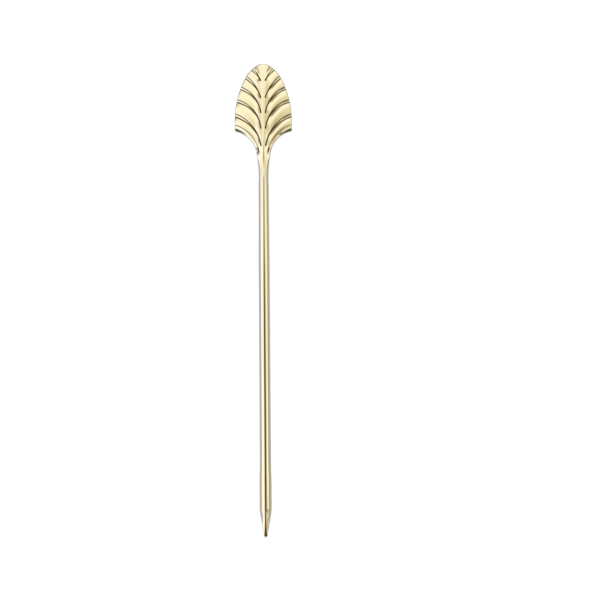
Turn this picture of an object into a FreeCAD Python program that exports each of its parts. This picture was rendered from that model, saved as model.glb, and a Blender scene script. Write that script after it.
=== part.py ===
import FreeCAD, Part
import math
import os

import Sketcher
from FreeCAD import Vector

# A gilt cocktail pick, cast in one piece: a round tapered shaft with a sharpened tip, and a flat-backed
# leaf head whose front is fluted like a palmette. It lies on its back. +Y runs to the head's top, -Y to
# the tip, +X across and +Z up out of the fluted front. The origin is under the middle of the length.
# A "drop" is a distance from the head's top towards the tip. Lengths are in mm, angles in degrees.
SIZES = [
    ("overall_length", 114.3),          # head top to tip
    ("head_width", 13.8),               # at the head's widest, near its lower corners
    ("cap_radius", 2.6),                # outline: the round at the very top
    ("cap_half_width", 1.2),            # where that round ends
    ("shoulder_radius", 7.5),           # outline: from the cap towards the sides
    ("side_radius", 22.0),              # outline: the long flat sides
    ("corner_radius", 0.35),            # the two lower corners of the head
    ("sweep_radius", 6.25),             # hollow edge from a corner in towards the neck
    ("sweep_end_drop", 21.3),           # where that hollow runs into the neck
    ("neck_radius", 38.0),              # hollow edge of the neck
    ("neck_end_drop", 28.0),            # where the plate is lost in the shaft
    ("neck_inset", 0.07),               # how far inside the shaft the plate ends there
    ("plate_blank_thickness", 3.0),     # before its front is crowned
    ("cutter_overrun", 1.0),            # how far the plate's cutters run past what they cut
    ("crown_cross_radius", 32.0),       # the leaf's gentle roundness across the head
    ("crown_middle_drop", 14.0),        # the front's middle profile; the others stand past the plate's ends
    ("heel_drop", 18.5),                # the flat back ends here and rises to the shaft
    ("heel_end_depth", 0.15),           # how far under the shaft's axis the back is where the plate ends
    ("rim_round", 0.18),                # softened edges all round the plate
    ("tip_nose_radius", 0.42),
    ("tip_length", 6.6),                # the sharpened cone
    ("grip_radius", 1.44),              # straight stretch above the cone, the shaft's thickest
    ("grip_length", 6.2),
    ("grip_round", 6.0),                # softens the corner between cone and grip
    ("swell_length", 5.5),              # the shaft swells over this length to the grip
    ("shaft_lower_radius", 1.335),
    ("shaft_middle_radius", 1.31),
    ("shaft_middle_drop", 50.0),
    ("shaft_neck_radius", 1.22),        # straight stretch under the head, the shaft's thinnest
    ("shaft_neck_drop", 33.0),
    ("stem_drop", 27.0),                # from here the shaft narrows inside the head, under its stem
    ("stem_end_radius", 0.5),
    ("stem_end_drop", 13.0),
    ("flute_root_offset", 0.44),        # roots of the flutes, to each side of the stem's middle
    ("flute_root_floor", 0.08),         # width of a flute's floor at its root
    ("flute_mouth_floor", 0.45),        # and where it opens at the outline
    ("flute_upper_draft", 16.0),        # lean of the wall nearer the top, from upright
    ("flute_root_lower_draft", 20.0),   # lean of the other wall, at the root
    ("flute_mouth_lower_draft", 32.0),  # and at the mouth
    ("ledge_root_offset", 1.0),         # the lowest cut is a ledge along the head's hollow edge
    ("ledge_root_floor", 1.0),
    ("ledge_mouth_floor", 1.7),
    ("ledge_fall", 0.25),               # how far the ledge falls to its outer edge
    ("cutter_top", 3.4),                # all flute cutters end at this height, above the stem
]

# Each flute follows an arc from its root beside the stem to its mouth just outside the outline.
# A mouth's inset is counted from the head's half width, and the two heights are its floor's.
FLUTE_SIZES = ("root_drop", "mouth_inset", "mouth_drop", "arc_radius", "root_height", "mouth_height")
FLUTES = {
    "flute1": (4.1, 4.0, 0.4, 16.0, 1.45, 0.95),
    "flute2": (8.2, 2.2, 2.4, 10.8, 1.65, 0.85),
    "flute3": (11.9, 0.6, 5.2, 8.0, 1.75, 0.75),
    "flute4": (15.7, -0.7, 8.3, 8.1, 1.85, 0.65),
    "flute5": (19.8, -1.1, 11.6, 10.0, 1.95, 0.60),
    "ledge": (21.2, -1.1, 14.4, 8.5, 2.00, 0.60),
}
# The front's three profiles: heights of the leaf and of the stem that rises from it, and the radii of
# the stem's back and of the hollow between stem and leaf.
CROWN_SIZES = ("leaf_height", "stem_height", "stem_radius", "hollow_radius")
CROWNS = {
    "crown_top": (1.45, 1.75, 2.0, 2.0),
    "crown_middle": (1.95, 2.35, 0.8, 1.2),
    "crown_neck": (1.65, 2.40, 1.0, 1.5),
}
for crown, numbers in CROWNS.items():
    SIZES += [(f"{crown}_{word}", number) for word, number in zip(CROWN_SIZES, numbers)]
for flute, numbers in FLUTES.items():
    SIZES += [(f"{flute}_{word}", number) for word, number in zip(FLUTE_SIZES, numbers)]

START, END, MIDDLE = range(1, 4)                # points of a line or arc, as a sketch counts them
ACROSS_AXIS, UPRIGHT_AXIS = range(-1, -3, -1)   # a sketch's own two axes
CENTRE = (ACROSS_AXIS, START)                   # and the point where they cross
UP = Vector(0, 0, 1)
CLOSE = 0.001

doc = FreeCAD.newDocument("CocktailPick")
sheet = doc.addObject("Spreadsheet::Sheet", "sizes")
size = dict(SIZES)
for row, (alias, number) in enumerate(SIZES, start=1):
    sheet.set(f"A{row}", alias)
    sheet.set(f"B{row}", str(number))
    sheet.setAlias(f"B{row}", alias)
doc.recompute()

halfLength = size["overall_length"] / 2
body = doc.addObject("PartDesign::Body", "pick")
body.Label = "cocktail_pick"


def originPlane(role):
    """One of the body's own three planes, such as XY_Plane."""
    return next(plane for plane in body.Origin.OriginFeatures if plane.Role == role)


def newSketch(name, support, mode="FlatFace"):
    sketch = body.newObject("Sketcher::SketchObject", name)
    sketch.AttachmentSupport = support
    sketch.MapMode = mode
    return sketch


def hold(sketch, kind, *geometry, value=None, size=None):
    """Adds a constraint. One with a size is bound to that expression of the sheet."""
    if size is None:
        sketch.addConstraint(Sketcher.Constraint(kind, *geometry))
        return
    index = sketch.addConstraint(Sketcher.Constraint(kind, *geometry, value))
    sketch.setExpression(f"Constraints[{index}]", size)


def holdRadius(sketch, arc, size):
    hold(sketch, "Radius", arc, value=sketch.Geometry[arc].Radius, size=size)


def holdAcross(sketch, item, point, size):
    hold(sketch, "DistanceX", *CENTRE, item, point, value=sketch.getPoint(item, point).x, size=size)


def holdUp(sketch, item, point, size):
    hold(sketch, "DistanceY", *CENTRE, item, point, value=sketch.getPoint(item, point).y, size=size)


def arcOf(centre, radius, first, last):
    """An arc from one angle in degrees to a larger one, anticlockwise."""
    return Part.ArcOfCircle(Part.Circle(centre, UP, radius), math.radians(first), math.radians(last))


def closedLines(sketch, corners):
    """Draws straight lines round the corners of an empty sketch and joins them."""
    following = corners[1:] + corners[:1]
    for corner, after in zip(corners, following):
        sketch.addGeometry(Part.LineSegment(corner, after), False)
    for line in range(len(corners)):
        hold(sketch, "Coincident", line, END, (line + 1) % len(corners), START)


def checked(feature, cuts):
    """Recomputes, and makes sure that a cut has cut and an addition has added."""
    doc.recompute()
    if feature.Shape.isNull() or not feature.Shape.isValid():
        raise RuntimeError(f"{feature.Name} has no valid shape")
    before = feature.BaseFeature.Shape.Volume if feature.BaseFeature else 0.0
    after = feature.Shape.Volume
    if (after < before) != cuts:
        raise RuntimeError(f"{feature.Name} left {after:.2f} of {before:.2f} mm3")
    print(f"{feature.Name}: {after:.2f} mm3")
    return feature


def plateOutline():
    """The right half of the head's outline and the neck, closed along the middle."""
    half = size["head_width"] / 2
    cap, shoulder, side = size["cap_radius"], size["shoulder_radius"], size["side_radius"]
    corner, sweep, neck = size["corner_radius"], size["sweep_radius"], size["neck_radius"]
    sin1 = size["cap_half_width"] / cap
    sin2 = (size["cap_half_width"] - shoulder * sin1 + side - half) / (side - shoulder)
    turn1 = 90 - math.degrees(math.asin(sin1))
    turn2 = 90 - math.degrees(math.asin(sin2))
    capCentre = Vector(0, halfLength - cap)
    shoulderCentre = capCentre + (cap - shoulder) * Vector(sin1, math.sqrt(1 - sin1 ** 2))
    sideCentre = shoulderCentre + (shoulder - side) * Vector(sin2, math.sqrt(1 - sin2 ** 2))
    neckCentre = Vector(size["shaft_neck_radius"] - size["neck_inset"] + neck,
                        halfLength - size["neck_end_drop"])
    rise = (size["neck_end_drop"] - size["sweep_end_drop"]) / neck
    join = 180 - math.degrees(math.asin(rise))
    sweepCentre = neckCentre + (neck - sweep) * Vector(-math.sqrt(1 - rise ** 2), rise)
    reach = sweepCentre.x - half + corner
    cornerCentre = Vector(half - corner, sweepCentre.y + math.sqrt((sweep + corner) ** 2 - reach ** 2))
    touch = math.degrees(math.atan2(cornerCentre.y - sweepCentre.y, cornerCentre.x - sweepCentre.x))
    neckEnd = Vector(neckCentre.x - neck, neckCentre.y)

    sketch = newSketch("plate_outline", [(originPlane("XY_Plane"), "")])
    shapes = [
        arcOf(capCentre, cap, turn1, 90),
        arcOf(shoulderCentre, shoulder, turn2, turn1),
        arcOf(sideCentre, side, 0, turn2),
        Part.LineSegment(Vector(half, sideCentre.y), Vector(half, cornerCentre.y)),
        arcOf(cornerCentre, corner, touch - 180, 0),
        arcOf(sweepCentre, sweep, touch, join),
        arcOf(neckCentre, neck, join, 180),
        Part.LineSegment(neckEnd, Vector(0, neckEnd.y)),
        Part.LineSegment(Vector(0, neckEnd.y), Vector(0, halfLength)),
    ]
    top, shoulderArc, sideArc, flank, cornerArc, sweepArc, neckArc, base, middle = range(len(shapes))
    sketch.addGeometry(shapes, False)
    hold(sketch, "Tangent", top, START, shoulderArc, END)
    hold(sketch, "Tangent", shoulderArc, START, sideArc, END)
    hold(sketch, "Tangent", sideArc, START, flank, START)
    hold(sketch, "Tangent", flank, END, cornerArc, END)
    hold(sketch, "Tangent", cornerArc, START, sweepArc, START)
    hold(sketch, "Tangent", sweepArc, END, neckArc, START)
    hold(sketch, "Coincident", neckArc, END, base, START)
    hold(sketch, "Coincident", base, END, middle, START)
    hold(sketch, "Coincident", middle, END, top, END)
    hold(sketch, "Vertical", flank)
    hold(sketch, "Horizontal", base)
    hold(sketch, "Horizontal", neckArc, MIDDLE, neckArc, END)
    hold(sketch, "PointOnObject", top, MIDDLE, UPRIGHT_AXIS)
    hold(sketch, "PointOnObject", top, END, UPRIGHT_AXIS)
    hold(sketch, "PointOnObject", base, END, UPRIGHT_AXIS)
    holdRadius(sketch, top, "sizes.cap_radius")
    holdRadius(sketch, shoulderArc, "sizes.shoulder_radius")
    holdRadius(sketch, sideArc, "sizes.side_radius")
    holdRadius(sketch, cornerArc, "sizes.corner_radius")
    holdRadius(sketch, sweepArc, "sizes.sweep_radius")
    holdRadius(sketch, neckArc, "sizes.neck_radius")
    holdAcross(sketch, top, START, "sizes.cap_half_width")
    holdAcross(sketch, flank, START, "sizes.head_width / 2")
    holdAcross(sketch, neckArc, END, "sizes.shaft_neck_radius - sizes.neck_inset")
    holdUp(sketch, top, END, "sizes.overall_length / 2")
    holdUp(sketch, neckArc, END, "sizes.overall_length / 2 - sizes.neck_end_drop")
    holdUp(sketch, sweepArc, END, "sizes.overall_length / 2 - sizes.sweep_end_drop")
    return sketch


def halfPlate():
    pad = body.newObject("PartDesign::Pad", "half_plate")
    pad.Profile = plateOutline()
    pad.setExpression("Length", "sizes.plate_blank_thickness")
    return checked(pad, cuts=False)


def crownProfile(name, place, placeSize):
    """Half of the front's profile across the head: stem, hollow, leaf, and the waste above them."""
    leafHeight, stemHeight, stem, hollow = (size[f"{name}_{word}"] for word in CROWN_SIZES)
    leaf = size["crown_cross_radius"]
    stemCentre = Vector(0, stemHeight - stem)
    leafCentre = Vector(0, leafHeight - leaf)
    rise = ((stem + hollow) ** 2 - (leaf + hollow) ** 2 - stemCentre.y ** 2 + leafCentre.y ** 2)
    rise /= 2 * (leafCentre.y - stemCentre.y)
    hollowCentre = Vector(math.sqrt((stem + hollow) ** 2 - (rise - stemCentre.y) ** 2), rise)
    stemTurn = math.degrees(math.atan2(rise - stemCentre.y, hollowCentre.x))
    leafTurn = math.degrees(math.atan2(rise - leafCentre.y, hollowCentre.x))
    edge = size["head_width"] / 2 + size["cutter_overrun"]
    edgeTurn = math.degrees(math.acos(edge / leaf))
    edgeHeight = leafCentre.y + leaf * math.sin(math.radians(edgeTurn))
    above = size["plate_blank_thickness"] + size["cutter_overrun"]

    sketch = newSketch(name, [(originPlane("XZ_Plane"), "")])
    sketch.AttachmentOffset = FreeCAD.Placement(Vector(0, 0, -place), FreeCAD.Rotation())
    sketch.setExpression("AttachmentOffset.Base.z", f"-({placeSize})")
    sketch.addGeometry([
        arcOf(stemCentre, stem, stemTurn, 90),
        arcOf(hollowCentre, hollow, stemTurn - 180, leafTurn - 180),
        arcOf(leafCentre, leaf, edgeTurn, leafTurn),
        Part.LineSegment(Vector(edge, edgeHeight), Vector(edge, above)),
        Part.LineSegment(Vector(edge, above), Vector(0, above)),
        Part.LineSegment(Vector(0, above), Vector(0, stemHeight)),
    ], False)
    stemArc, hollowArc, leafArc, side, top, middle = range(6)
    hold(sketch, "Tangent", stemArc, START, hollowArc, START)
    hold(sketch, "Tangent", hollowArc, END, leafArc, END)
    hold(sketch, "Coincident", leafArc, START, side, START)
    hold(sketch, "Coincident", side, END, top, START)
    hold(sketch, "Coincident", top, END, middle, START)
    hold(sketch, "Coincident", middle, END, stemArc, END)
    hold(sketch, "Vertical", side)
    hold(sketch, "Horizontal", top)
    hold(sketch, "PointOnObject", stemArc, MIDDLE, UPRIGHT_AXIS)
    hold(sketch, "PointOnObject", stemArc, END, UPRIGHT_AXIS)
    hold(sketch, "PointOnObject", leafArc, MIDDLE, UPRIGHT_AXIS)
    hold(sketch, "PointOnObject", top, END, UPRIGHT_AXIS)
    holdRadius(sketch, stemArc, f"sizes.{name}_stem_radius")
    holdRadius(sketch, hollowArc, f"sizes.{name}_hollow_radius")
    holdRadius(sketch, leafArc, "sizes.crown_cross_radius")
    holdUp(sketch, stemArc, END, f"sizes.{name}_stem_height")
    holdUp(sketch, leafArc, MIDDLE, f"sizes.{name}_leaf_height - sizes.crown_cross_radius")
    holdAcross(sketch, side, START, "sizes.head_width / 2 + sizes.cutter_overrun")
    holdUp(sketch, top, START, "sizes.plate_blank_thickness + sizes.cutter_overrun")
    return sketch


def crownFront():
    """Cuts the front of the half plate down to the leaf and its stem, lofted through three profiles."""
    overrun = size["cutter_overrun"]
    profiles = [
        crownProfile("crown_top", halfLength + overrun,
                     "sizes.overall_length / 2 + sizes.cutter_overrun"),
        crownProfile("crown_middle", halfLength - size["crown_middle_drop"],
                     "sizes.overall_length / 2 - sizes.crown_middle_drop"),
        crownProfile("crown_neck", halfLength - size["neck_end_drop"] - overrun,
                     "sizes.overall_length / 2 - sizes.neck_end_drop - sizes.cutter_overrun"),
    ]
    doc.recompute()
    crown = body.newObject("PartDesign::SubtractiveLoft", "crown")
    crown.Profile = profiles[0]
    crown.Sections = [(profile, [""]) for profile in profiles[1:]]
    return checked(crown, cuts=True)


def mirroredAcross(name, features, cuts):
    """Repeats features on the other side of the middle plane."""
    mirrored = body.newObject("PartDesign::Mirrored", name)
    mirrored.Originals = features
    mirrored.MirrorPlane = (originPlane("YZ_Plane"), [""])
    body.Tip = mirrored
    return checked(mirrored, cuts)


def heelUnderNeck():
    """Hollows the back under the neck, so that the flat back runs up into the round shaft."""
    overrun = size["cutter_overrun"]
    start = halfLength - size["heel_drop"]
    end = halfLength - size["neck_end_drop"] - overrun
    run = size["neck_end_drop"] - size["heel_drop"]
    rise = size["grip_radius"] - size["heel_end_depth"]
    radius = (run ** 2 + rise ** 2) / (2 * rise)
    angle = -90 - math.degrees(math.asin((start - end) / radius))
    height = radius + radius * math.sin(math.radians(angle))

    runSize = "(sizes.neck_end_drop - sizes.heel_drop)"
    riseSize = "(sizes.grip_radius - sizes.heel_end_depth)"
    sketch = newSketch("heel_line", [(originPlane("YZ_Plane"), "")])
    sketch.addGeometry([
        arcOf(Vector(start, radius), radius, angle, -90),
        Part.LineSegment(Vector(start, 0), Vector(start, -overrun)),
        Part.LineSegment(Vector(start, -overrun), Vector(end, -overrun)),
        Part.LineSegment(Vector(end, -overrun), Vector(end, height)),
    ], False)
    heel, front, bottom, rear = range(4)
    hold(sketch, "Coincident", heel, END, front, START)
    hold(sketch, "Coincident", front, END, bottom, START)
    hold(sketch, "Coincident", bottom, END, rear, START)
    hold(sketch, "Coincident", rear, END, heel, START)
    hold(sketch, "Vertical", front)
    hold(sketch, "Horizontal", bottom)
    hold(sketch, "Vertical", rear)
    hold(sketch, "Vertical", heel, MIDDLE, heel, END)
    holdRadius(sketch, heel, f"({runSize} ^ 2 + {riseSize} ^ 2) / (2 * {riseSize})")
    holdAcross(sketch, heel, MIDDLE, "sizes.overall_length / 2 - sizes.heel_drop")
    holdUp(sketch, heel, END, "0")
    holdAcross(sketch, rear, START, "sizes.overall_length / 2 - sizes.neck_end_drop - sizes.cutter_overrun")
    holdUp(sketch, front, END, "-sizes.cutter_overrun")

    pocket = body.newObject("PartDesign::Pocket", "heel")
    pocket.Profile = sketch
    pocket.Midplane = True
    pocket.setExpression("Length", "sizes.head_width")
    return checked(pocket, cuts=True)


def shaftAndStem():
    """Turns tip, grip and shaft about an axis one grip radius above the floor, and on into the head."""
    height = size["grip_radius"]
    nose, grip = size["tip_nose_radius"], size["grip_radius"]
    tip = -halfLength
    run = size["tip_length"] - nose
    lean = math.atan2(grip, run) - math.asin(nose / math.hypot(grip, run))
    noseEnd = Vector(tip + nose - nose * math.sin(lean), height + nose * math.cos(lean))
    stations = {        # name of a line: where it ends along the pick, and the shaft's radius there
        "cone": ("sizes.tip_length - sizes.overall_length / 2", "sizes.grip_radius"),
        "grip": ("sizes.tip_length + sizes.grip_length - sizes.overall_length / 2", "sizes.grip_radius"),
        "swell": ("sizes.tip_length + sizes.grip_length + sizes.swell_length - sizes.overall_length / 2",
                  "sizes.shaft_lower_radius"),
        "lower": ("sizes.overall_length / 2 - sizes.shaft_middle_drop", "sizes.shaft_middle_radius"),
        "upper": ("sizes.overall_length / 2 - sizes.shaft_neck_drop", "sizes.shaft_neck_radius"),
        "neck": ("sizes.overall_length / 2 - sizes.stem_drop", "sizes.shaft_neck_radius"),
        "stem": ("sizes.overall_length / 2 - sizes.stem_end_drop", "sizes.stem_end_radius"),
    }
    gripTop = tip + size["tip_length"] + size["grip_length"]
    corners = [
        noseEnd,
        Vector(tip + size["tip_length"], height + grip),
        Vector(gripTop, height + grip),
        Vector(gripTop + size["swell_length"], height + size["shaft_lower_radius"]),
        Vector(halfLength - size["shaft_middle_drop"], height + size["shaft_middle_radius"]),
        Vector(halfLength - size["shaft_neck_drop"], height + size["shaft_neck_radius"]),
        Vector(halfLength - size["stem_drop"], height + size["shaft_neck_radius"]),
        Vector(halfLength - size["stem_end_drop"], height + size["stem_end_radius"]),
        Vector(halfLength - size["stem_end_drop"], height),
        Vector(tip, height),
    ]
    sketch = newSketch("shaft_profile", [(originPlane("YZ_Plane"), "")])
    for here, there in zip(corners, corners[1:]):
        sketch.addGeometry(Part.LineSegment(here, there), False)
    cone, stemEnd, centre = 0, len(stations), len(stations) + 1
    for line in range(centre):
        hold(sketch, "Coincident", line, END, line + 1, START)
    noseArc = sketch.addGeometry(arcOf(Vector(tip + nose, height), nose, 90 + math.degrees(lean), 180), False)
    axis = sketch.addGeometry(Part.LineSegment(corners[-1], corners[-2]), True)
    hold(sketch, "Coincident", centre, END, noseArc, END)
    hold(sketch, "Tangent", noseArc, START, cone, START)
    hold(sketch, "Horizontal", noseArc, MIDDLE, noseArc, END)
    hold(sketch, "Vertical", stemEnd)
    hold(sketch, "Horizontal", centre)
    hold(sketch, "Coincident", axis, START, centre, END)
    hold(sketch, "Coincident", axis, END, centre, START)
    holdRadius(sketch, noseArc, "sizes.tip_nose_radius")
    holdAcross(sketch, centre, END, "-sizes.overall_length / 2")
    holdUp(sketch, centre, END, "sizes.grip_radius")
    for line, (place, radius) in enumerate(stations.values()):
        holdAcross(sketch, line, END, place)
        holdUp(sketch, line, END, f"sizes.grip_radius + {radius}")

    turned = body.newObject("PartDesign::Revolution", "shaft")
    turned.Profile = sketch
    turned.ReferenceAxis = (sketch, ["Axis0"])
    turned.Angle = 360
    return checked(turned, cuts=False)


def edgesWhere(feature, test):
    """Names of the edges that pass a test."""
    return [f"Edge{i}" for i, edge in enumerate(feature.Shape.Edges, start=1) if test(edge)]


def roundEdges(name, base, test, radius):
    fillet = body.newObject("PartDesign::Fillet", name)
    fillet.Base = (base, edgesWhere(base, test))
    fillet.setExpression("Radius", radius)
    return checked(fillet, cuts=True)


def fluteSection(name, spine, along, height, floor, fall, lowerDraft):
    """Cutter section across the spine: a leaning wall each side of a floor, open at the top."""
    top = size["cutter_top"]
    rise = top - size[height]
    drop = size[fall] if fall else 0.0
    upperRun = rise * math.tan(math.radians(size["flute_upper_draft"]))
    lowerRun = (rise + drop) * math.tan(math.radians(size[lowerDraft]))
    fallen = f"sizes.{fall}" if fall else "0"

    sketch = newSketch(name, [(spine, "Edge1")], "NormalToEdge")
    sketch.MapPathParameter = along
    closedLines(sketch, [
        Vector(upperRun, top),
        Vector(0, size[height]),
        Vector(-size[floor], size[height] - drop),
        Vector(-size[floor] - lowerRun, top),
    ])
    upperWall, floorLine, lowerWall, lid = range(4)
    hold(sketch, "PointOnObject", upperWall, END, UPRIGHT_AXIS)
    hold(sketch, "Horizontal", lid)
    holdUp(sketch, upperWall, START, "sizes.cutter_top")
    holdUp(sketch, upperWall, END, f"sizes.{height}")
    holdUp(sketch, floorLine, END, f"sizes.{height} - {fallen}")
    holdAcross(sketch, floorLine, END, f"-sizes.{floor}")
    holdAcross(sketch, upperWall, START,
               f"(sizes.cutter_top - sizes.{height}) * tan(sizes.flute_upper_draft)")
    holdAcross(sketch, lowerWall, END,
               f"-sizes.{floor} - (sizes.cutter_top - sizes.{height} + {fallen}) * tan(sizes.{lowerDraft})")
    return sketch


def fluteCut(flute, rootOffset, rootFloor, mouthFloor, fall=None):
    """Sweeps a cutter along an arc from beside the stem to outside the outline, widening as it goes."""
    start = Vector(size[rootOffset], halfLength - size[f"{flute}_root_drop"])
    end = Vector(size["head_width"] / 2 - size[f"{flute}_mouth_inset"],
                 halfLength - size[f"{flute}_mouth_drop"])
    radius = size[f"{flute}_arc_radius"]
    chord = end - start
    outward = Vector(chord.y, -chord.x).normalize()
    centre = (start + end) / 2 + outward * math.sqrt(radius ** 2 - chord.Length ** 2 / 4)
    first = math.degrees(math.atan2(end.y - centre.y, end.x - centre.x))
    last = math.degrees(math.atan2(start.y - centre.y, start.x - centre.x)) % 360

    spine = newSketch(f"{flute}_line", [(originPlane("XY_Plane"), "")])
    spine.addGeometry(arcOf(centre, radius, first, last), False)
    holdRadius(spine, 0, f"sizes.{flute}_arc_radius")
    holdAcross(spine, 0, END, f"sizes.{rootOffset}")
    holdUp(spine, 0, END, f"sizes.overall_length / 2 - sizes.{flute}_root_drop")
    holdAcross(spine, 0, START, f"sizes.head_width / 2 - sizes.{flute}_mouth_inset")
    holdUp(spine, 0, START, f"sizes.overall_length / 2 - sizes.{flute}_mouth_drop")
    doc.recompute()

    root = fluteSection(f"{flute}_root", spine, 1.0, f"{flute}_root_height", rootFloor, fall,
                        "flute_root_lower_draft")
    mouth = fluteSection(f"{flute}_mouth", spine, 0.0, f"{flute}_mouth_height", mouthFloor, fall,
                         "flute_mouth_lower_draft")
    doc.recompute()
    cut = body.newObject("PartDesign::SubtractivePipe", flute)
    cut.Spine = (spine, ["Edge1"])
    cut.Profile = mouth
    cut.Transformation = "Multisection"
    cut.Sections = [(root, [""])]
    return checked(cut, cuts=True)


def rimEdge(edge):
    """Any edge round the plate's back or front, but no corner's upright and nothing in the neck's end."""
    box = edge.BoundBox
    neckEnd = halfLength - size["neck_end_drop"]
    upright = box.XLength < CLOSE and box.YLength < CLOSE
    inside = box.XMin < CLOSE - size["shaft_neck_radius"] and box.XMax > size["shaft_neck_radius"] - CLOSE
    return not upright and not inside and box.YMax > neckEnd + CLOSE


def coneEdge(edge):
    """The circle where the cone meets the grip."""
    place = edge.BoundBox.Center.y
    return edge.BoundBox.YLength < CLOSE and abs(place + halfLength - size["tip_length"]) < CLOSE


halves = [halfPlate(), crownFront(), heelUnderNeck()]
plate = mirroredAcross("plate", halves, cuts=False)
roundEdges("rim", plate, rimEdge, "sizes.rim_round")
shaft = shaftAndStem()
roundEdges("cone_root", shaft, coneEdge, "sizes.grip_round")
flutes = [
    fluteCut(flute, "flute_root_offset", "flute_root_floor", "flute_mouth_floor")
    for flute in FLUTES if flute != "ledge"
]
flutes.append(fluteCut("ledge", "ledge_root_offset", "ledge_root_floor", "ledge_mouth_floor", "ledge_fall"))
mirroredAcross("both_sides", flutes, cuts=True)

doc.recompute()
for item in doc.Objects:
    if "Invalid" in item.State or "Error" in item.State:
        raise RuntimeError(f"{item.Name} failed: {item.State}")
shape = body.Shape
if shape.isNull() or not shape.isValid() or len(shape.Solids) != 1:
    raise RuntimeError("the pick is not one valid solid")
os.makedirs("parts", exist_ok=True)
shape.exportStep(f"parts/{body.Label}.step")
print(f"{body.Label}: {len(shape.Faces)} faces, {shape.Volume:.1f} mm3")
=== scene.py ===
import math

import bmesh
import bpy
import numpy as np
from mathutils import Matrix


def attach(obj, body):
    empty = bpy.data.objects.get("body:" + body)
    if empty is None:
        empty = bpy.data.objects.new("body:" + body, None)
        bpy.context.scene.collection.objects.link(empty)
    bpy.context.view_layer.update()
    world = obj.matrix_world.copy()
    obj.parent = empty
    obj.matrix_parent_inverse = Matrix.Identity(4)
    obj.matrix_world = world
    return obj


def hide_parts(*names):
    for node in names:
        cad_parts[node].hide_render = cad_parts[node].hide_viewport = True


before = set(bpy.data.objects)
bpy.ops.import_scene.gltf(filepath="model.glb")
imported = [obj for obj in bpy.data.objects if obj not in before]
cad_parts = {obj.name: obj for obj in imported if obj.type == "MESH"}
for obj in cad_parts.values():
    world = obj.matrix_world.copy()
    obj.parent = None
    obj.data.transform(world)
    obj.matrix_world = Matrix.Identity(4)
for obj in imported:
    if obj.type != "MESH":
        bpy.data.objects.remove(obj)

# A gilt cocktail pick with a palmette head, lying on its back. It is drawn in mm with two plan
# coordinates: x across, and drop, the distance from the head's top towards the tip. The mesh is
# in metres in the frame's own axes, so y is half the length minus the drop.
print("frame loaded")

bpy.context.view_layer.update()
mm = 0.001

# The outline's right half, from the top down: arcs that run into each other without a corner.
outline = {
    "length": 114.3,
    "headWidth": 13.8,
    "capRadius": 2.6,
    "capHalfWidth": 1.2,
    "shoulderRadius": 7.5,
    "sideRadius": 22.0,
    "cornerRadius": 0.35,
    "sweepRadius": 6.25,
    "sweepEnd": 21.3,
    "neckRadius": 38.0,
    "neckEnd": 28.0,
    "neckHalfWidth": 1.15,
    "spacing": 0.02,         # between the points that stand for the arcs
}

# The shaft: drops and radii, joined by soft tapers.
shaft = {
    "axisHeight": 1.44,
    "drops": (28.0, 33.0, 50.0, 96.1, 101.5, 107.7),
    "radii": (1.22, 1.22, 1.31, 1.335, 1.44, 1.44),
    "coneRound": 0.6,        # half the drop over which the cone's upper end is softened
    "noseRadius": 0.42,
}

# Grooves of the right half. Each is an arc of a circle from its root beside the stem to the rim. Width and
# depth are at the rim, and the root's are no larger. The first is a fine crease, the last a ledge.
grooves = [
    {"root": (0.74, 2.60), "mouth": (1.55, 0.55), "radius": 16.0, "width": 0.55, "depth": 0.16},
    {"root": (0.44, 4.08), "mouth": (2.35, 1.05), "radius": 16.1, "width": 0.75, "depth": 0.40},
    {"root": (0.44, 8.23), "mouth": (4.15, 2.80), "radius": 10.8, "width": 0.80, "depth": 0.58},
    {"root": (0.44, 11.92), "mouth": (5.75, 5.36), "radius": 7.97, "width": 0.85, "depth": 0.66},
    {"root": (0.45, 15.69), "mouth": (6.75, 8.44), "radius": 8.1, "width": 0.90, "depth": 0.72},
    {"root": (0.46, 19.83), "mouth": (7.05, 11.85), "radius": 10.08, "width": 0.95, "depth": 0.74},
    {"root": (0.98, 21.45), "mouth": (7.05, 14.58), "radius": 8.55, "width": 1.60, "depth": 0.34},
]


def arcPoints(centre, radius, first, last):
    # points along an arc between two angles in degrees, the normals pointing outwards
    count = max(3, int(abs(math.radians(last - first)) * abs(radius) / outline["spacing"]))
    angle = np.radians(np.linspace(first, last, count))
    normal = np.stack([np.cos(angle), np.sin(angle)], 1)
    return np.array(centre) + abs(radius) * normal, normal * np.sign(radius)


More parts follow.
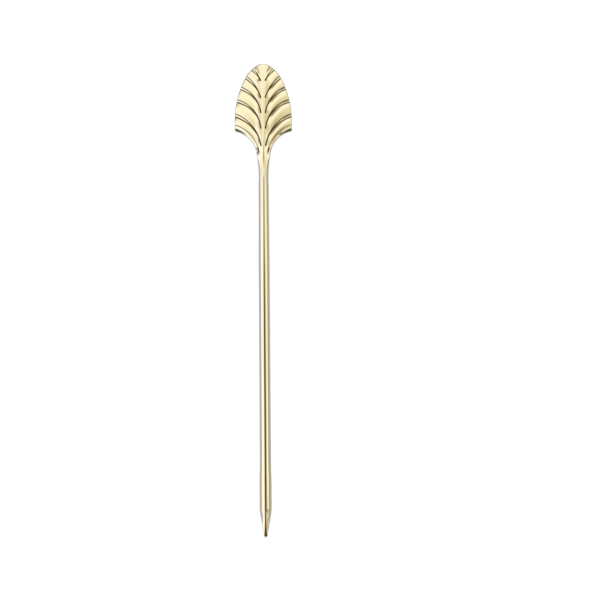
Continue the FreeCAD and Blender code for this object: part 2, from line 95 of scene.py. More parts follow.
def outlineCurve():
    # The cap, shoulder and side arcs are tangent, each circle's centre lying on the line from the
    # last one's through their common point. The hollow edges have a negative radius.
    o = outline
    half = o["headWidth"] / 2
    cap, shoulder = o["capRadius"], o["shoulderRadius"]
    side, corner = o["sideRadius"], o["cornerRadius"]
    sin1 = o["capHalfWidth"] / cap
    sin2 = (o["capHalfWidth"] - shoulder * sin1 + side - half) / (side - shoulder)
    turn1, turn2 = 90 - math.degrees(math.asin(sin1)), 90 - math.degrees(math.asin(sin2))
    capCentre = np.array([0, -cap])
    shoulderCentre = capCentre + (cap - shoulder) * np.array([sin1, math.sqrt(1 - sin1 ** 2)])
    sideCentre = shoulderCentre + (shoulder - side) * np.array([sin2, math.sqrt(1 - sin2 ** 2)])
    sweep, neck = o["sweepRadius"], o["neckRadius"]
    neckCentre = np.array([o["neckHalfWidth"] + neck, -o["neckEnd"]])
    rise = (o["neckEnd"] - o["sweepEnd"]) / neck
    join = 180 - math.degrees(math.asin(rise))
    sweepCentre = neckCentre + (neck - sweep) * np.array([-math.sqrt(1 - rise ** 2), rise])
    reach = sweepCentre[0] - half + corner
    cornerHeight = sweepCentre[1] + math.sqrt((sweep + corner) ** 2 - reach ** 2)
    cornerCentre = np.array([half - corner, cornerHeight])
    touch = math.degrees(math.atan2(*(cornerCentre - sweepCentre)[::-1]))
    flank = np.array([[half, sideCentre[1] + (cornerHeight - sideCentre[1]) * k] for k in (0.25, 0.5, 0.75)])
    parts = [
        arcPoints(capCentre, cap, 90, turn1),
        arcPoints(shoulderCentre, shoulder, turn1, turn2),
        arcPoints(sideCentre, side, turn2, 0),
        (flank, np.tile([1.0, 0.0], (3, 1))),
        arcPoints(cornerCentre, corner, 0, touch - 180),
        arcPoints(sweepCentre, -sweep, touch, join),
        arcPoints(neckCentre, -neck, join, 180),
    ]
    points = np.concatenate([p for p, n in parts])
    normals = np.concatenate([n for p, n in parts])
    keep = np.append(True, np.hypot(*np.diff(points, axis=0).T) > 1e-4)
    points, normals = points[keep] * [1, -1], normals[keep] * [1, -1]      # y up becomes a drop
    along = np.append(0, np.cumsum(np.hypot(*np.diff(points, axis=0).T)))
    return along, points, normals


outlineAlong, outlinePoints, outlineNormals = outlineCurve()


def outlineAt(along):
    # place and outward normal at a distance along the outline
    place = np.stack([np.interp(along, outlineAlong, outlinePoints[:, k]) for k in (0, 1)], -1)
    normal = np.stack([np.interp(along, outlineAlong, outlineNormals[:, k]) for k in (0, 1)], -1)
    return place, normal / np.linalg.norm(normal, axis=-1, keepdims=True)


def smooth(low, high, value):
    # 0 below low, 1 above high, and an S curve between
    k = np.clip((value - low) / (high - low), 0, 1)
    return k * k * (3 - 2 * k)


def halfWidth(drop):
    # the widest x of the pick at a drop past the head's corner
    below = outlinePoints[:, 1] > 17
    return np.interp(drop, outlinePoints[below, 1], outlinePoints[below, 0])


def shaftRadius(drop):
    # Tapers joined by S curves, then a cone tangent to a round nose. The cone's upper end is softened
    # by a parabola that touches both sides.
    drops, radii = shaft["drops"], shaft["radii"]
    radius = np.full_like(drop, radii[0])
    for here, there, first, last in zip(drops, drops[1:], radii, radii[1:]):
        radius = radius + (last - first) * smooth(here, there, drop)
    length, nose, grip, start = outline["length"], shaft["noseRadius"], radii[-1], drops[-1]
    run = length - nose - start
    lean = math.atan2(grip, run) - math.asin(nose / math.hypot(grip, run))
    slope, soft = math.tan(lean), shaft["coneRound"]
    past = drop - start
    cone = np.where(past > soft, slope * past, slope * np.clip(past + soft, 0, None) ** 2 / (4 * soft))
    ball = np.sqrt(np.clip(nose ** 2 - (drop - (length - nose)) ** 2, 0, None))
    noseStart = length - nose + nose * math.sin(lean)
    return np.where(drop > noseStart, ball, radius - cone)


# The plain front before its grooves: heights of leaf and stem at these drops, and the edges' rounding.
front = {
    "drops": (-1.0, 6.0, 14.0, 22.0, 28.0),
    "leaf": (1.42, 1.78, 1.92, 1.86, 1.66),
    "stem": (0.30, 0.42, 0.50, 0.66, 0.0),
    "stemHalfWidth": (2.2, 1.3, 1.1, 1.0, 1.1),
    "crossRadius": 30.0,
    "rimRound": 0.3,
    "flatBackEnd": 18.5,     # drop at which the back begins to rise to the shaft
    "heelDepth": 0.15,       # how far under the shaft's axis it is where the head ends
    "neckBlend": (19.5, 27.5),     # drops between which the head's shapes turn into the shaft's
}


def curveThrough(drops, values, drop):
    # a smooth curve through a few stations: cubic Hermite pieces with the mean slope at each station
    drops, values = np.array(drops), np.array(values)
    slopes = np.gradient(values, drops)
    k = np.clip(np.searchsorted(drops, drop) - 1, 0, len(drops) - 2)
    span = drops[k + 1] - drops[k]
    f = np.clip((drop - drops[k]) / span, 0, 1)
    return (values[k] * (1 + 2 * f) * (1 - f) ** 2 + slopes[k] * span * f * (1 - f) ** 2
            + values[k + 1] * f * f * (3 - 2 * f) - slopes[k + 1] * span * f * f * (1 - f))


def plainFront(x, drop):
    # Height of the front without grooves. The head is a leaf, gently round across, with a soft stem
    # along it. Past the neck it is the shaft's upper half.
    leaf = curveThrough(front["drops"], front["leaf"], drop) - x ** 2 / (2 * front["crossRadius"])
    width = curveThrough(front["drops"], front["stemHalfWidth"], drop)
    stem = curveThrough(front["drops"], front["stem"], drop) * np.exp(-(x / width) ** 2)
    radius = shaftRadius(drop)
    edge = np.maximum(halfWidth(drop), radius)
    across = np.clip(x / edge, -1, 1)
    tube = shaft["axisHeight"] + radius * np.sqrt(1 - across ** 2)
    return leaf + stem + (tube - leaf - stem) * smooth(*front["neckBlend"], drop)


def grooveCentre(groove):
    # centre of the circle through root and mouth, on the side away from the head's top
    root, mouth = np.array(groove["root"]), np.array(groove["mouth"])
    chord = mouth - root
    length = np.hypot(*chord)
    away = np.array([-chord[1], chord[0]]) / length
    return (root + mouth) / 2 + away * math.sqrt(groove["radius"] ** 2 - length ** 2 / 4)


print("profiles ready")

# The mesh is made of nets that share their edges: the head's front, the front of neck and shaft, the same
# two again at the back, and a strip round the rim on each side. The head's rows run from rim to rim: down a
# groove's line on one side, over the stem and up on the other, so that the relief's edges run along them.
net = {
    "innerColumns": 12,      # from the stem's middle to the roots
    "outerColumns": 40,      # from there to the rim
    "rimColumns": 12,        # round the edge, from front to back
    "topRows": 16,           # above the first groove
    "lobeRows": 40,          # from one groove to the next
    "ledgeRows": 30,         # between the last groove and the lower rim
    "neckRows": 16,          # from there to the round shaft
    "shaftRows": ((96.0, 60), (101.6, 12), (106.8, 5), (108.6, 14)),     # drops, and the rows down to each
    "coneRows": 14,
    "noseRows": 14,
    "ledgeEnd": 22.4,        # drop at which the lower rim has become the side of the neck
    "rimAngle": 25.0,        # share of the round shaft that continues the rim, in degrees above its middle
}

for groove in grooves:
    groove["centre"] = grooveCentre(groove)
    rootSide, mouthSide = groove["centre"] - groove["root"], groove["centre"] - groove["mouth"]
    groove["rootAngle"] = math.atan2(rootSide[1], rootSide[0])
    groove["length"] = groove["radius"] * (math.atan2(mouthSide[1], mouthSide[0]) - groove["rootAngle"])


def acrossGroove(groove, x, drop):
    # distance from the groove's upper line, positive on the tip's side, and distance along it from its root
    dx, dd = groove["centre"][0] - x, groove["centre"][1] - drop
    return groove["radius"] - np.hypot(dx, dd), groove["radius"] * (np.arctan2(dd, dx) - groove["rootAngle"])


def rimAt(along):
    # end of a row: the outline moved in by the rim's rounding
    place, normal = outlineAt(along)
    tube = smooth(*front["neckBlend"], place[..., 1])
    angle = math.radians(net["rimAngle"])
    inset = front["rimRound"] * (1 - tube) + shaft["radii"][0] * (1 - math.cos(angle)) * tube
    return place - normal * inset[..., None], place, normal, tube


def mouthAlong(groove):
    # where a groove's line meets the rim, as a distance along the outline
    place = rimAt(outlineAlong)[0]
    q = acrossGroove(groove, place[:, 0], place[:, 1])[0]
    first = np.argmax(q > 0)
    return np.interp(0, q[first - 1:first + 1], outlineAlong[first - 1:first + 1])


def rowStations():
    # What a row is made from, at each whole number: root's x and drop, end along the outline, curvature.
    # The first is a short, nearly straight one at the very top.
    rows = [(0.0, front["rimRound"], 0.0, 0.05)]
    for groove in grooves:
        rows.append((*groove["root"], mouthAlong(groove), 1 / groove["radius"]))
    return np.array(rows)


def rowNumbers():
    # Row numbers, close together where the relief is steep: at each groove's line and on its far slope.
    numbers = [np.linspace(0, 1, net["topRows"], endpoint=False)]
    for k, groove in enumerate(grooves):
        last = k == len(grooves) - 1
        pitch = 1.5
        if not last:
            middle = np.array(groove["mouth"]) * 0.7 + np.array(groove["root"]) * 0.3
            pitch = max(0.6, -acrossGroove(grooves[k + 1], *middle)[0])
        q = np.linspace(0, pitch, 4000)
        density = 1 + 9 * np.exp(-((q - 0.06) / 0.16) ** 2)
        density += 4 * smooth(0.25, 0.35, q / groove["width"]) * smooth(1.15, 1.05, q / groove["width"])
        density += 9 * (not last) * np.exp(-((q - pitch) / 0.14) ** 2)
        share = np.append(0, np.cumsum(density[1:]))
        count = net["ledgeRows"] if last else net["lobeRows"]
        numbers.append(k + 1 + np.interp(np.linspace(0, share[-1], count, endpoint=last), share, q) / pitch)
    return np.concatenate(numbers)


stations = rowStations()
columnShare = np.linspace(0, 1, net["outerColumns"] + 1)[1:] ** 1.25
cornerAlong = outlineAlong[np.argmax(outlineNormals[:, 1] > 0.6)]
pastCorner = outlineAlong > cornerAlong
neckAlong = np.interp(net["ledgeEnd"], outlinePoints[pastCorner, 1], outlineAlong[pastCorner])


def grooveRows(number):
    # Outer parts of the rows down to the last groove: arcs through a row's root and its end on the rim
    whole = np.arange(len(stations))
    rootX, rootDrop, along, curve = [np.interp(number, whole, stations[:, k]) for k in range(4)]
    root, end = np.stack([rootX, rootDrop], -1), rimAt(along)[0]
    chord = end - root
    length = np.maximum(np.hypot(*chord.T), 1e-6)
    half = np.arcsin(curve * length / 2)
    turn = half[:, None] * (2 * columnShare - 1)
    safe = np.maximum(half[:, None], 1e-9)
    forward = 0.5 + 0.5 * np.sin(turn) / np.sin(safe)
    sag = (np.cos(turn) - np.cos(safe)) / (2 * np.sin(safe))
    side = np.stack([chord[:, 1], -chord[:, 0]], -1)
    return root, root[:, None] + forward[..., None] * chord[:, None] + sag[..., None] * side[:, None], along


def headRows():
    # Plan of the right half of the head. Below the last groove the rows change evenly from its line to the
    # lower rim, and their ends go down the side to the corner.
    number = rowNumbers()
    whole = number <= len(grooves)
    root, outer, along = grooveRows(number[whole])
    v = (number[~whole] - len(grooves))[:, None, None]
    lowerAlong = neckAlong + (cornerAlong - neckAlong) * columnShare
    lower, lowerRoot = rimAt(lowerAlong)[0], rimAt(np.array([neckAlong]))[0]
    strip = outer[-1] * (1 - v) + lower * v
    sideAlong = along[-1] + (cornerAlong - along[-1]) * v[:, 0, 0]
    strip = strip + (rimAt(sideAlong)[0] - strip[:, -1])[:, None] * columnShare[:, None] ** 6
    root = np.concatenate([root, root[-1] * (1 - v[:, 0]) + lowerRoot * v[:, 0]])
    outer = np.concatenate([outer, strip])
    innerShare = np.linspace(0, 1, net["innerColumns"] + 1)[:, None]
    inner = root[:, None] * [1, 0] * innerShare + root[:, None] * [0, 1]
    return number, np.concatenate([inner, outer], 1), np.append(along, sideAlong), lowerAlong[::-1]


def shaftRows():
    # Drops of the rows below the neck, closer together where the shaft changes
    length, nose = outline["length"], shaft["noseRadius"]
    stretches, here = [], outline["neckEnd"]
    for there, count in (*net["shaftRows"], (length - nose * 1.02, net["coneRows"])):
        stretches.append(np.linspace(here, there, count)[1:])
        here = there
    turn = np.linspace(0, math.pi / 2, net["noseRows"])[1:]
    return np.concatenate([*stretches, length - nose * np.cos(turn)])


relief = {
    "rootWidth": 0.30,
    "rootDepth": 0.28,
    # along this length the pit at a groove's root is also painted dark as shade
    "tickLength": 0.75,      # the dark pit at a groove's root
    "tickDepth": 0.20,
    "pitDepth": 0.12,        # the same at the ledge's end on the neck
    "wall": (-0.12, 0.12),   # where a groove's upper wall falls, counted across its line
    "softEnd": 1.75,         # where the far slope ends
    "wallShare": (0.2, 0.4),     # how much of the far slope is a steep wall, at the root and at the rim
    "ledgeStart": (22.3, 19.8),  # drops over which the ledge begins on the neck
    "ledgeFall": 0.08,       # what the ledge falls by, away from its upper line
    "cornerFall": 0.40,      # slope of the ledge's outer edge at the head's lower corners
    "cornerReach": (2.0, 5.2),   # x over which that slope begins
    "floorTilt": 0.42,       # share of a groove's depth, at the rim, that its floor falls by
    "lobeRise": 0.06,        # how far a lobe's middle stands over its edges
}


def upperWall(q, grow):
    # how far down a groove's upper wall a place is, from 0 to 1, and the line of painted shade along that
    # wall
    high, low = relief["wall"]
    fall = smooth(high * (0.5 + 0.5 * grow), low * (0.6 + 0.4 * grow), q)
    return fall, smooth(high * 0.4, -0.01, q) * smooth(low * 1.2, low * 0.5, q)


def tickDepth(s):
    # how much deeper a groove is in the short pit at its root
    return relief["tickDepth"] * smooth(relief["tickLength"], 0.3 * relief["tickLength"], s)


def grooveCut(groove, x, drop):
    # Depth of one groove at each place, and how dark its painted shade is. Across the groove the depth rises
    # in an S curve over the upper wall, slopes on over the floor near the rim, and falls in two over the far
    # side: a steep wall and a long soft slope. Along it the depth and then the width grow towards the rim.
    q, s = acrossGroove(groove, x, drop)
    along = s / groove["length"]
    ticked = groove is not grooves[0]
    grow, opening = smooth(0.0, 0.75, along), smooth(0.25, 1.0, along)
    width = relief["rootWidth"] + (groove["width"] - relief["rootWidth"]) * opening
    depth = min(relief["rootDepth"], groove["depth"])
    depth = depth + (groove["depth"] - depth) * grow
    depth = depth + ticked * tickDepth(s)
    begin = smooth(-0.12, 0.12, s) if ticked else smooth(0.0, 0.6, along)

    fall, line = upperWall(q, grow)
    tilt = relief["floorTilt"] * smooth(0.45, 0.9, along)
    fall = fall * (1 - tilt) + np.clip(q / (0.7 * width), 0, 1) * tilt
    steep = np.interp(smooth(0.35, 0.95, along), (0, 1), relief["wallShare"])
    steep = steep + (1 - steep) * smooth(0.3, 0.0, along)
    soft = np.clip((q - 0.4 * width) / (relief["softEnd"] - 0.4 * width), 0, 1)
    rise = smooth(0.55 * width, 0.95 * width, q) * steep + soft * (2 - soft) * (1 - steep)

    # Painted shade: a band on the far wall near the rim, the pit at the root, and the whole narrow groove
    # near its root
    farWall = smooth(0.5 * width, 0.6 * width, q) * smooth(1.05 * width, 0.9 * width, q)
    farWall = farWall * smooth(0.45, 0.8, along) * 0.95
    inside = smooth(relief["wall"][0] * 0.5, 0.0, q) * smooth(width, width * 0.75, q) * begin * ticked
    tick = inside * smooth(relief["tickLength"] * 1.1, relief["tickLength"] * 0.8, s)
    merged = inside * smooth(0.75, 0.45, along) * 0.9
    dark = np.maximum.reduce([line * begin, farWall, tick, merged])
    return depth * fall * (1 - rise) * begin, dark


def ledgeCut(groove, x, drop):
    # The same for the last groove, a ledge without a far side. It falls on to the rim, most at the head's
    # lower corners, which are painted dark as shade, and starts from a pit on the neck that is painted dark
    # as shade.
    q, s = acrossGroove(groove, x, drop)
    grow = smooth(0.0, 0.75, s / groove["length"])
    depth = min(relief["rootDepth"], groove["depth"])
    depth = depth + (groove["depth"] - depth) * grow
    depth = depth + tickDepth(s)
    past = np.clip(q - 0.45, 0, 1.3)
    corner = np.minimum(past ** 2 * 1.25, past - 0.2) * smooth(*relief["cornerReach"], x)
    depth = depth + relief["ledgeFall"] * smooth(0.1, 1.0, q) + relief["cornerFall"] * corner
    begin = smooth(*relief["ledgeStart"], drop)
    fall, line = upperWall(q, grow)
    # Painted shade in the pit on the neck and at the head's lower corners
    pit = smooth(-0.14, -0.04, q) * smooth(0.3, 0.2, q) * smooth(19.9, 20.5, drop) * smooth(21.6, 21.2, drop)
    cornerDark = smooth(0.6, 0.85, q) * smooth(2.8, 4.8, x)
    dark = np.maximum.reduce([line * begin * smooth(21.9, 21.2, drop), cornerDark, pit])
    return (depth + relief["pitDepth"] * pit) * fall * begin, dark


def frontHeight(x, drop, number):
    # the whole front: plain leaf and stem, lobes that swell between the grooves, and the grooves
    x = np.abs(x)
    share = number % 1.0
    spread = smooth(0.5, 3.0, x) * smooth(0.6, 1.2, number) * (number < len(grooves))
    height = plainFront(x, drop) + relief["lobeRise"] * 4 * share * (1 - share) * spread
    cut, dark = ledgeCut(grooves[-1], x, drop)
    for groove in grooves[:-1]:
        depth, shade = grooveCut(groove, x, drop)
        cut, dark = np.maximum(cut, depth), np.maximum(dark, shade)
    return height - cut, dark


def backHeight(x, drop):
    # Flat under the head, then an arc up into the round shaft's underside
    run = outline["neckEnd"] - front["flatBackEnd"]
    rise = shaft["axisHeight"] - front["heelDepth"]
    heelRadius = (run ** 2 + rise ** 2) / (2 * rise)
    past = np.clip(drop - front["flatBackEnd"], 0, heelRadius * 0.99)
    heel = heelRadius - np.sqrt(heelRadius ** 2 - past ** 2)
    radius = shaftRadius(drop)
    edge = np.maximum(halfWidth(drop), radius)
    across = np.clip(x / edge, -1, 1)
    tube = shaft["axisHeight"] - radius * np.sqrt(1 - across ** 2)
    plate = smooth(*front["neckBlend"][::-1], drop)
    return np.minimum(heel, tube + 9 * plate) * plate + tube * (1 - plate)


def rimStrip(end, place, normal, tube, high, low):
    # The rim from the front's edge to the back's: a quarter round, an upright wall and another quarter
    # round on the head, an arc of a circle on the shaft, and a mean of the two on the neck. A small shift
    # makes it meet the front and the back.
    k = np.linspace(0, 1, net["rimColumns"] + 1)
    r = np.minimum(front["rimRound"], 0.45 * (high - low))[:, None]
    turn, turnBack = (np.clip(k * 3 - first, 0, 1) * math.pi / 2 for first in (0, 2))
    inset = front["rimRound"] * (2 - np.sin(turn) - np.cos(turnBack))
    middle = np.clip(k * 3 - 1, 0, 1)
    head = ((high[:, None] - r * (1 - np.cos(turn))) * (1 - middle)
            + (low[:, None] + r * (1 - np.sin(turnBack))) * middle)
    radius = shaftRadius(end[:, 1])[:, None]
    angle = math.radians(net["rimAngle"]) * (1 - 2 * k)
    inset = inset * (1 - tube[:, None]) + radius * (1 - np.cos(angle)) * tube[:, None]
    tall = head * (1 - tube[:, None]) + (shaft["axisHeight"] + radius * np.sin(angle)) * tube[:, None]
    tall = tall + (high - tall[:, 0])[:, None] * (1 - k) ** 3 + (low - tall[:, -1])[:, None] * k ** 3
    return place[:, None] - normal[:, None] * inset[..., None], tall


def bothSides(values, flip=1):
    # a right half's net with its mirror image on the left, joined in the middle
    return np.concatenate([(values * flip)[:, :0:-1], values], 1)


def rimEdge(head, body):
    # the values along the rim: down the head's side, in along its lower edge, and down neck and shaft
    return np.concatenate([head[:, -1], head[-1, -2:net["innerColumns"]:-1], body[:, -1]])


def pickNets():
    # the nets as plan, height and painted shade
    number, head, along, lowerAlong = headRows()
    numbers = np.repeat(number[:, None], head.shape[1], 1)
    headHigh, headDark = frontHeight(head[..., 0], head[..., 1], numbers)

    neckRim = rimAt(np.linspace(neckAlong, outlineAlong[-1], net["neckRows"]))
    drops = shaftRows()
    radius = shaftRadius(drops) * (drops < drops[-1])
    angle = math.radians(net["rimAngle"])
    shaftEnds = np.stack([radius * math.cos(angle), drops], -1)
    ends = np.concatenate([neckRim[0], shaftEnds])
    columns = np.linspace(0, 1, net["innerColumns"] + 1)
    around = np.cos(math.pi / 2 + (angle - math.pi / 2) * columns) / math.cos(angle)
    blend = smooth(net["ledgeEnd"], 27.0, ends[:, 1:])
    share = columns * (1 - blend) + around * blend
    body = np.stack([ends[:, :1] * share, np.repeat(ends[:, 1:], len(columns), 1)], -1)
    pastHead = np.full(body.shape[:2], len(grooves) + 1.0)
    bodyHigh, bodyDark = frontHeight(body[..., 0], body[..., 1], pastHead)

    headRim, lowerRim = rimAt(along), rimAt(lowerAlong[1:])
    shaftNormals = np.tile([1.0, 0.0], (len(drops), 1))
    shaftRim = shaftEnds, np.stack([radius, drops], -1), shaftNormals, np.ones(len(drops))
    end, place, normal, tube = [np.concatenate(v) for v in zip(headRim, lowerRim, neckRim, shaftRim)]
    high, dark = rimEdge(headHigh, bodyHigh), rimEdge(headDark, bodyDark)
    rim, rimHigh = rimStrip(end, place, normal, tube, high, backHeight(end[:, 0], end[:, 1]))
    # the painted shade at the front's edge fades out round the rim
    rimDark = dark[:, None] * np.linspace(1, 0, net["rimColumns"] + 1) ** 4

    mirror = np.array([-1, 1])
    nets = []
    for plan, high, dark in ((head, headHigh, headDark), (body, bodyHigh, bodyDark)):
        both = bothSides(plan, mirror)
        nets.append((both, bothSides(high), bothSides(dark)))
        nets.append((both, backHeight(both[..., 0], both[..., 1]), np.zeros(both.shape[:2])))
    return nets + [(rim, rimHigh, rimDark), (rim * mirror, rimHigh, rimDark)]


def closedMesh(name, nets):
    # Quads of every net, in metres. The nets' shared edges are merged, and the faces turned outwards.
    points, shades, quads, count = [], [], [], 0
    for plan, high, dark in nets:
        rows, columns = high.shape
        index = count + np.arange(rows * columns).reshape(rows, columns)
        corners = [index[:-1, :-1], index[:-1, 1:], index[1:, 1:], index[1:, :-1]]
        quads.append(np.stack(corners, -1).reshape(-1, 4))
        place = [plan[..., 0], outline["length"] / 2 - plan[..., 1], high]
        points.append(np.stack(place, -1).reshape(-1, 3) * mm)
        shades.append(dark.ravel())
        count += rows * columns
    mesh = bpy.data.meshes.new(name)
    mesh.from_pydata(np.concatenate(points).tolist(), [], np.concatenate(quads).tolist())
    # each point keeps how dark its painted shade is, as an attribute that the material reads
    dark = np.concatenate(shades).astype(np.float32)
    mesh.attributes.new("recess", "FLOAT", "POINT").data.foreach_set("value", dark)
    edit = bmesh.new()
    edit.from_mesh(mesh)
    bmesh.ops.remove_doubles(edit, verts=edit.verts, dist=1e-7)
    bmesh.ops.dissolve_degenerate(edit, edges=edit.edges, dist=1e-7)
    bmesh.ops.recalc_face_normals(edit, faces=edit.faces)
    print(name, "open edges:", sum(not e.is_manifold for e in edit.edges))
    edit.to_mesh(mesh)
    edit.free()
    mesh.polygons.foreach_set("use_smooth", np.ones(len(mesh.polygons), bool))
    piece = bpy.data.objects.new(name, mesh)
    bpy.context.scene.collection.objects.link(piece)
    return piece


pick = closedMesh("gilt_pick", pickNets())
print("pick:", len(pick.data.polygons), "faces")


class Wire:
    # a socket that can be added, multiplied and so on, each time as a Math node
    def __init__(self, nodes, socket):
        self.nodes, self.socket = nodes, socket

    def maths(self, operation, *values):
        return self.nodes.add("ShaderNodeMath", {"operation": operation}, dict(enumerate(values)))

    def __add__(self, other):
        return self.maths("ADD", self, other)

    def __rsub__(self, other):
        return self.maths("SUBTRACT", other, self)

    def __mul__(self, other):
        return self.maths("MULTIPLY", self, other)

    __radd__, __rmul__ = __add__, __mul__


class Nodes:
    # the nodes of one material or world
    def __init__(self, owner):
        owner.use_nodes = True
        self.tree = owner.node_tree
        self.tree.nodes.clear()

    def add(self, kind, settings=None, inputs=None, output=0):
        node = self.tree.nodes.new(kind)
        for name, value in (settings or {}).items():
            if name == "stops":
                ramp = node.color_ramp.elements
                while len(ramp) < len(value):
                    ramp.new(0.5)
                for stop, (place, colour) in zip(ramp, value):
                    stop.position, stop.color = place, (*colour, 1)
            else:
                setattr(node, name, value)
        for name, value in (inputs or {}).items():
            if isinstance(value, Wire):
                self.tree.links.new(value.socket, node.inputs[name])
            else:
                node.inputs[name].default_value = value
        return Wire(self, node.outputs[output]) if node.outputs else None


def linear(red, green, blue):
    # a colour written as 0 to 255 becomes a shader colour
    return (*(((v / 255 + 0.055) / 1.055) ** 2.4 if v > 10 else v / 3294 for v in (red, green, blue)), 1)


finish = {
    "gilt": (255, 246, 208),
    "giltDeep": (250, 233, 180),
    # the dark brown of the painted shade in the grooves, pits and corners
    "recess": (74, 55, 18),
    "roughness": 0.07,
}


def giltMetal():
    # polished pale gilding: faint clouds in colour and gloss, very fine polish marks, and painted shade that
    # darkens the recesses
    material = bpy.data.materials.new("gilt_metal")
    nodes = Nodes(material)
    place = nodes.add("ShaderNodeTexCoord", output="Object")
    cloud = nodes.add("ShaderNodeTexNoise", {"noise_dimensions": "3D"},
                      {"Vector": place, "Scale": 220.0, "Detail": 3.0, "Roughness": 0.55})
    fine = nodes.add("ShaderNodeTexNoise", {"noise_dimensions": "3D"},
                     {"Vector": place, "Scale": 2600.0, "Detail": 2.0, "Roughness": 0.5})
    # the mesh's painted shade: it turns the gilt towards the dark shade colour and makes the gloss rougher
    # there
    recess = nodes.add("ShaderNodeAttribute", {"attribute_name": "recess"}, output="Fac")
    tint = nodes.add("ShaderNodeMix", {"data_type": "RGBA"},
                     {0: cloud * 0.5, 6: linear(*finish["gilt"]), 7: linear(*finish["giltDeep"])}, output=2)
    colour = nodes.add("ShaderNodeMix", {"data_type": "RGBA"},
                       {0: recess * 0.95, 6: tint, 7: linear(*finish["recess"])}, output=2)
    bump = nodes.add("ShaderNodeBump", None, {"Strength": 0.04, "Distance": 0.00005, "Height": fine})
    shader = nodes.add("ShaderNodeBsdfPrincipled", None, {
        "Base Color": colour,
        "Metallic": 1.0,
        "Roughness": finish["roughness"] + cloud * 0.05 + recess * 0.25,
        "Normal": bump,
    })
    nodes.add("ShaderNodeOutputMaterial", None, {"Surface": shader})
    return material


pick.data.materials.append(giltMetal())
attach(pick, "root")
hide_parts("cocktail_pick")

studio = {
    "frame": 144.7,          # mm that the picture shows at the height of the shaft's axis
    "cameraHeight": 400.0,
    "cameraX": 8.59,
    "cameraY": 0.12,
    "cameraRoll": -0.36,     # degrees
    "sensor": 36.0,
    "light": 1.03,           # brightness of the lit parts
    "leftTint": (1.06, 1.08, 1.32, 1),     # the light on the left is cooler and a little brighter
    "leftStart": (-150.0, -400.0),
    "paper": (0.42, 0.455, 0.54, 1),
    "cameraGlow": 0.79,      # what the floor adds to the light that falls on it, to the camera and in metal
    "metalGlow": 0.15,
    "floorHalf": 3000.0,
    "floorHeight": -0.02,    # just under the pick's flat back
    "ceilingHalf": (900.0, 850.0),
    "ceiling": 430.0,        # height of the lit ceiling
    "surround": 900.0,       # radius of the low wall round the floor, and its height
    "surroundHeight": 420.0,
    "surroundSides": 96,
}

# Soft dark patches, in mm. Each fades in from the first number of a pair to the second and is dark by its
# share of the light. The shades are the colours from lit to dark.
ceilingLight = {
    "shades": ((0, (1, 1, 1)), (0.35, (0.72, 0.66, 0.54)), (0.6, (0.44, 0.37, 0.25)),
               (1, (0.05, 0.035, 0.015))),
    "corner": (-0.45, 0.45, 0.43),     # in metres, where "far" is measured from
    "patches": [
        # over the shaft, which shows it as a dark line
        {"x": ((-212, -17), (268, 73)), "y": ((130, -30), (-250, -190)), "dark": 1.0},
        # faint and broad over the neck
        {"x": ((-240, 30), (420, 150)), "y": ((210, 60),), "dark": 0.22},
        # beyond the tip, where the cone shows it
        {"x": ((-200, -80), (180, 60)), "y": ((-190, -250), (-335, -298)), "dark": 1.0},
        # for the stem's right flank
        {"x": ((150, 300), (680, 450)), "y": ((60, 110),), "dark": 0.35},
        # for the slopes of the right half
        {"far": ((420, 200),), "dark": 0.8},
        # for the floors of the right half's grooves
        {"x": ((230, 350), (700, 560)), "y": ((-110, -180), (-360, -280)), "dark": 0.9},
    ],
}
# the wall is grey at the floor and fades to the brightness of the rest, sooner on the left
surroundLight = {
    "shades": ((0, (1, 1, 1)), (0.5, (0.48, 0.52, 0.68)), (1, (0.05, 0.04, 0.02))),
    "patches": [
        {"x": ((600, -600),), "z": ((370, 190),), "dark": 0.55},
        {"x": ((-600, 600),), "z": ((440, 320),), "dark": 0.7},
        {"y": ((-300, -600),), "z": ((420, 340),), "dark": 0.3},
    ],
}


def between(nodes, wire, low, high):
    # 0 where a wire is at low, 1 at high, with an S curve between
    return nodes.add("ShaderNodeMapRange", {"interpolation_type": "SMOOTHSTEP"}, {0: wire, 1: low, 2: high})


def patchesDark(nodes, wires, patches):
    # Darkness from 0 to 1. Each patch takes its share of the light that the others leave.
    light = 1.0
    for patch in patches:
        cover = patch["dark"]
        for axis, wire in wires.items():
            for low, high in patch.get(axis, ()):
                cover = between(nodes, wire, low, high) * cover
        light = (1.0 - cover) * light
    return 1.0 - light


def glow(name, look):
    # A self-lit surface. Its own coordinates in mm say how dark it is, and that gives its colour.
    material = bpy.data.materials.new(name)
    nodes = Nodes(material)
    place = nodes.add("ShaderNodeTexCoord", output="Object")
    parts = nodes.tree.nodes.new("ShaderNodeSeparateXYZ")
    nodes.tree.links.new(place.socket, parts.inputs[0])
    wires = {axis: Wire(nodes, parts.outputs[k]) * 1000.0 for k, axis in enumerate("xyz")}
    if "corner" in look:
        ends = {0: place, 1: look["corner"]}
        wires["far"] = nodes.add("ShaderNodeVectorMath", {"operation": "DISTANCE"}, ends, output=1) * 1000.0
    dark = patchesDark(nodes, wires, look["patches"])
    colour = nodes.add("ShaderNodeValToRGB", {"stops": look["shades"]}, {0: dark})
    left = between(nodes, wires["x"], *studio["leftStart"])
    tinted = nodes.add("ShaderNodeMix", {"data_type": "RGBA", "blend_type": "MULTIPLY"},
                       {0: left, 6: colour, 7: studio["leftTint"]}, output=2)
    shader = nodes.add("ShaderNodeEmission", None, {"Color": tinted, "Strength": studio["light"]})
    nodes.add("ShaderNodeOutputMaterial", None, {"Surface": shader})
    return material


def stagePiece(name, points, faces, material, seen):
    # a stage mesh with corners in mm. What only gives light and reflections isn't seen by the camera.
    mesh = bpy.data.meshes.new(name)
    mesh.from_pydata((np.array(points, float) * mm).tolist(), [], faces)
    mesh.materials.append(material)
    item = bpy.data.objects.new(name, mesh)
    item.visible_camera = seen
    bpy.context.scene.collection.objects.link(item)


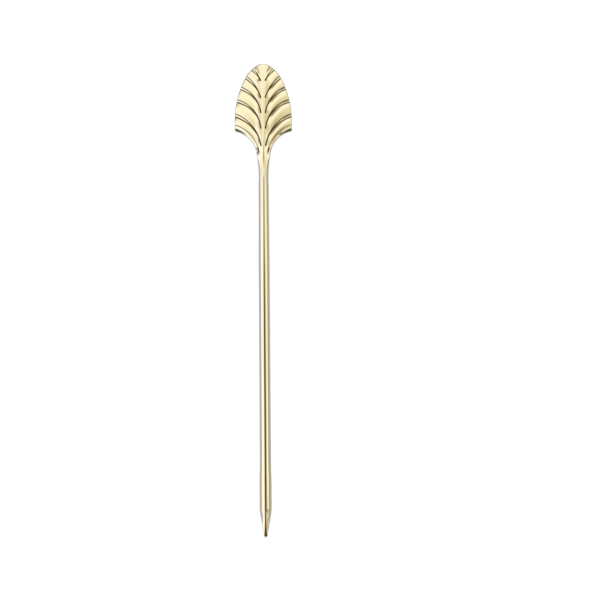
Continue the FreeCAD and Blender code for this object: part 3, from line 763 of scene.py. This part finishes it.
def floorMaterial():
    # Pale paper that also glows a little, to the camera and less in the metal, so that it looks white and
    # still shows the pick's shadow.
    material = bpy.data.materials.new("floor_white")
    nodes = Nodes(material)
    paper = nodes.add("ShaderNodeBsdfDiffuse", None, {"Color": studio["paper"]})
    camera = nodes.add("ShaderNodeLightPath", output="Is Camera Ray")
    metal = nodes.add("ShaderNodeLightPath", output="Is Glossy Ray")
    glass = nodes.add("ShaderNodeLightPath", output="Is Transmission Ray")
    strength = (camera + glass) * studio["cameraGlow"] + metal * studio["metalGlow"]
    glowing = nodes.add("ShaderNodeEmission", None, {"Color": (1, 1, 1, 1), "Strength": strength})
    both = nodes.add("ShaderNodeAddShader", None, {0: paper, 1: glowing})
    nodes.add("ShaderNodeOutputMaterial", None, {"Surface": both})
    return material


square = np.array([(-1, -1), (1, -1), (1, 1), (-1, 1)])
floorPlan, ceilingPlan = square * studio["floorHalf"], square * studio["ceilingHalf"]
stagePiece("floor", np.c_[floorPlan, np.full(4, studio["floorHeight"])], [(0, 1, 2, 3)],
           floorMaterial(), True)
stagePiece("ceiling", np.c_[ceilingPlan, np.full(4, studio["ceiling"])], [(3, 2, 1, 0)],
           glow("ceiling_light", ceilingLight), False)

sides = studio["surroundSides"]
turn = np.linspace(0, 2 * math.pi, sides + 1)[:-1]
ring = np.c_[np.cos(turn), np.sin(turn)] * studio["surround"]
wall = np.concatenate([np.c_[ring, np.zeros(sides)], np.c_[ring, np.full(sides, studio["surroundHeight"])]])
around = [(k, (k + 1) % sides, (k + 1) % sides + sides, k + sides) for k in range(sides)]
stagePiece("surround", wall, around, glow("surround_light", surroundLight), False)
print("floor, ceiling and surround ready")

world = bpy.data.worlds.new("studio")
bpy.context.scene.world = world
sky = Nodes(world)
background = sky.add("ShaderNodeBackground", None, {"Color": (1, 1, 1, 1), "Strength": studio["light"]})
sky.add("ShaderNodeOutputWorld", None, {"Surface": background})

camera = bpy.data.objects.new("camera", bpy.data.cameras.new("camera"))
bpy.context.scene.collection.objects.link(camera)
camera.location = (studio["cameraX"] * mm, studio["cameraY"] * mm, studio["cameraHeight"] * mm)
camera.data.sensor_width = studio["sensor"]
camera.rotation_euler = (0, 0, math.radians(studio["cameraRoll"]))
camera.data.lens = studio["sensor"] * (studio["cameraHeight"] - shaft["axisHeight"]) / studio["frame"]
camera.data.clip_start = 0.01
bpy.context.scene.camera = camera
bpy.context.scene.view_settings.view_transform = "Standard"
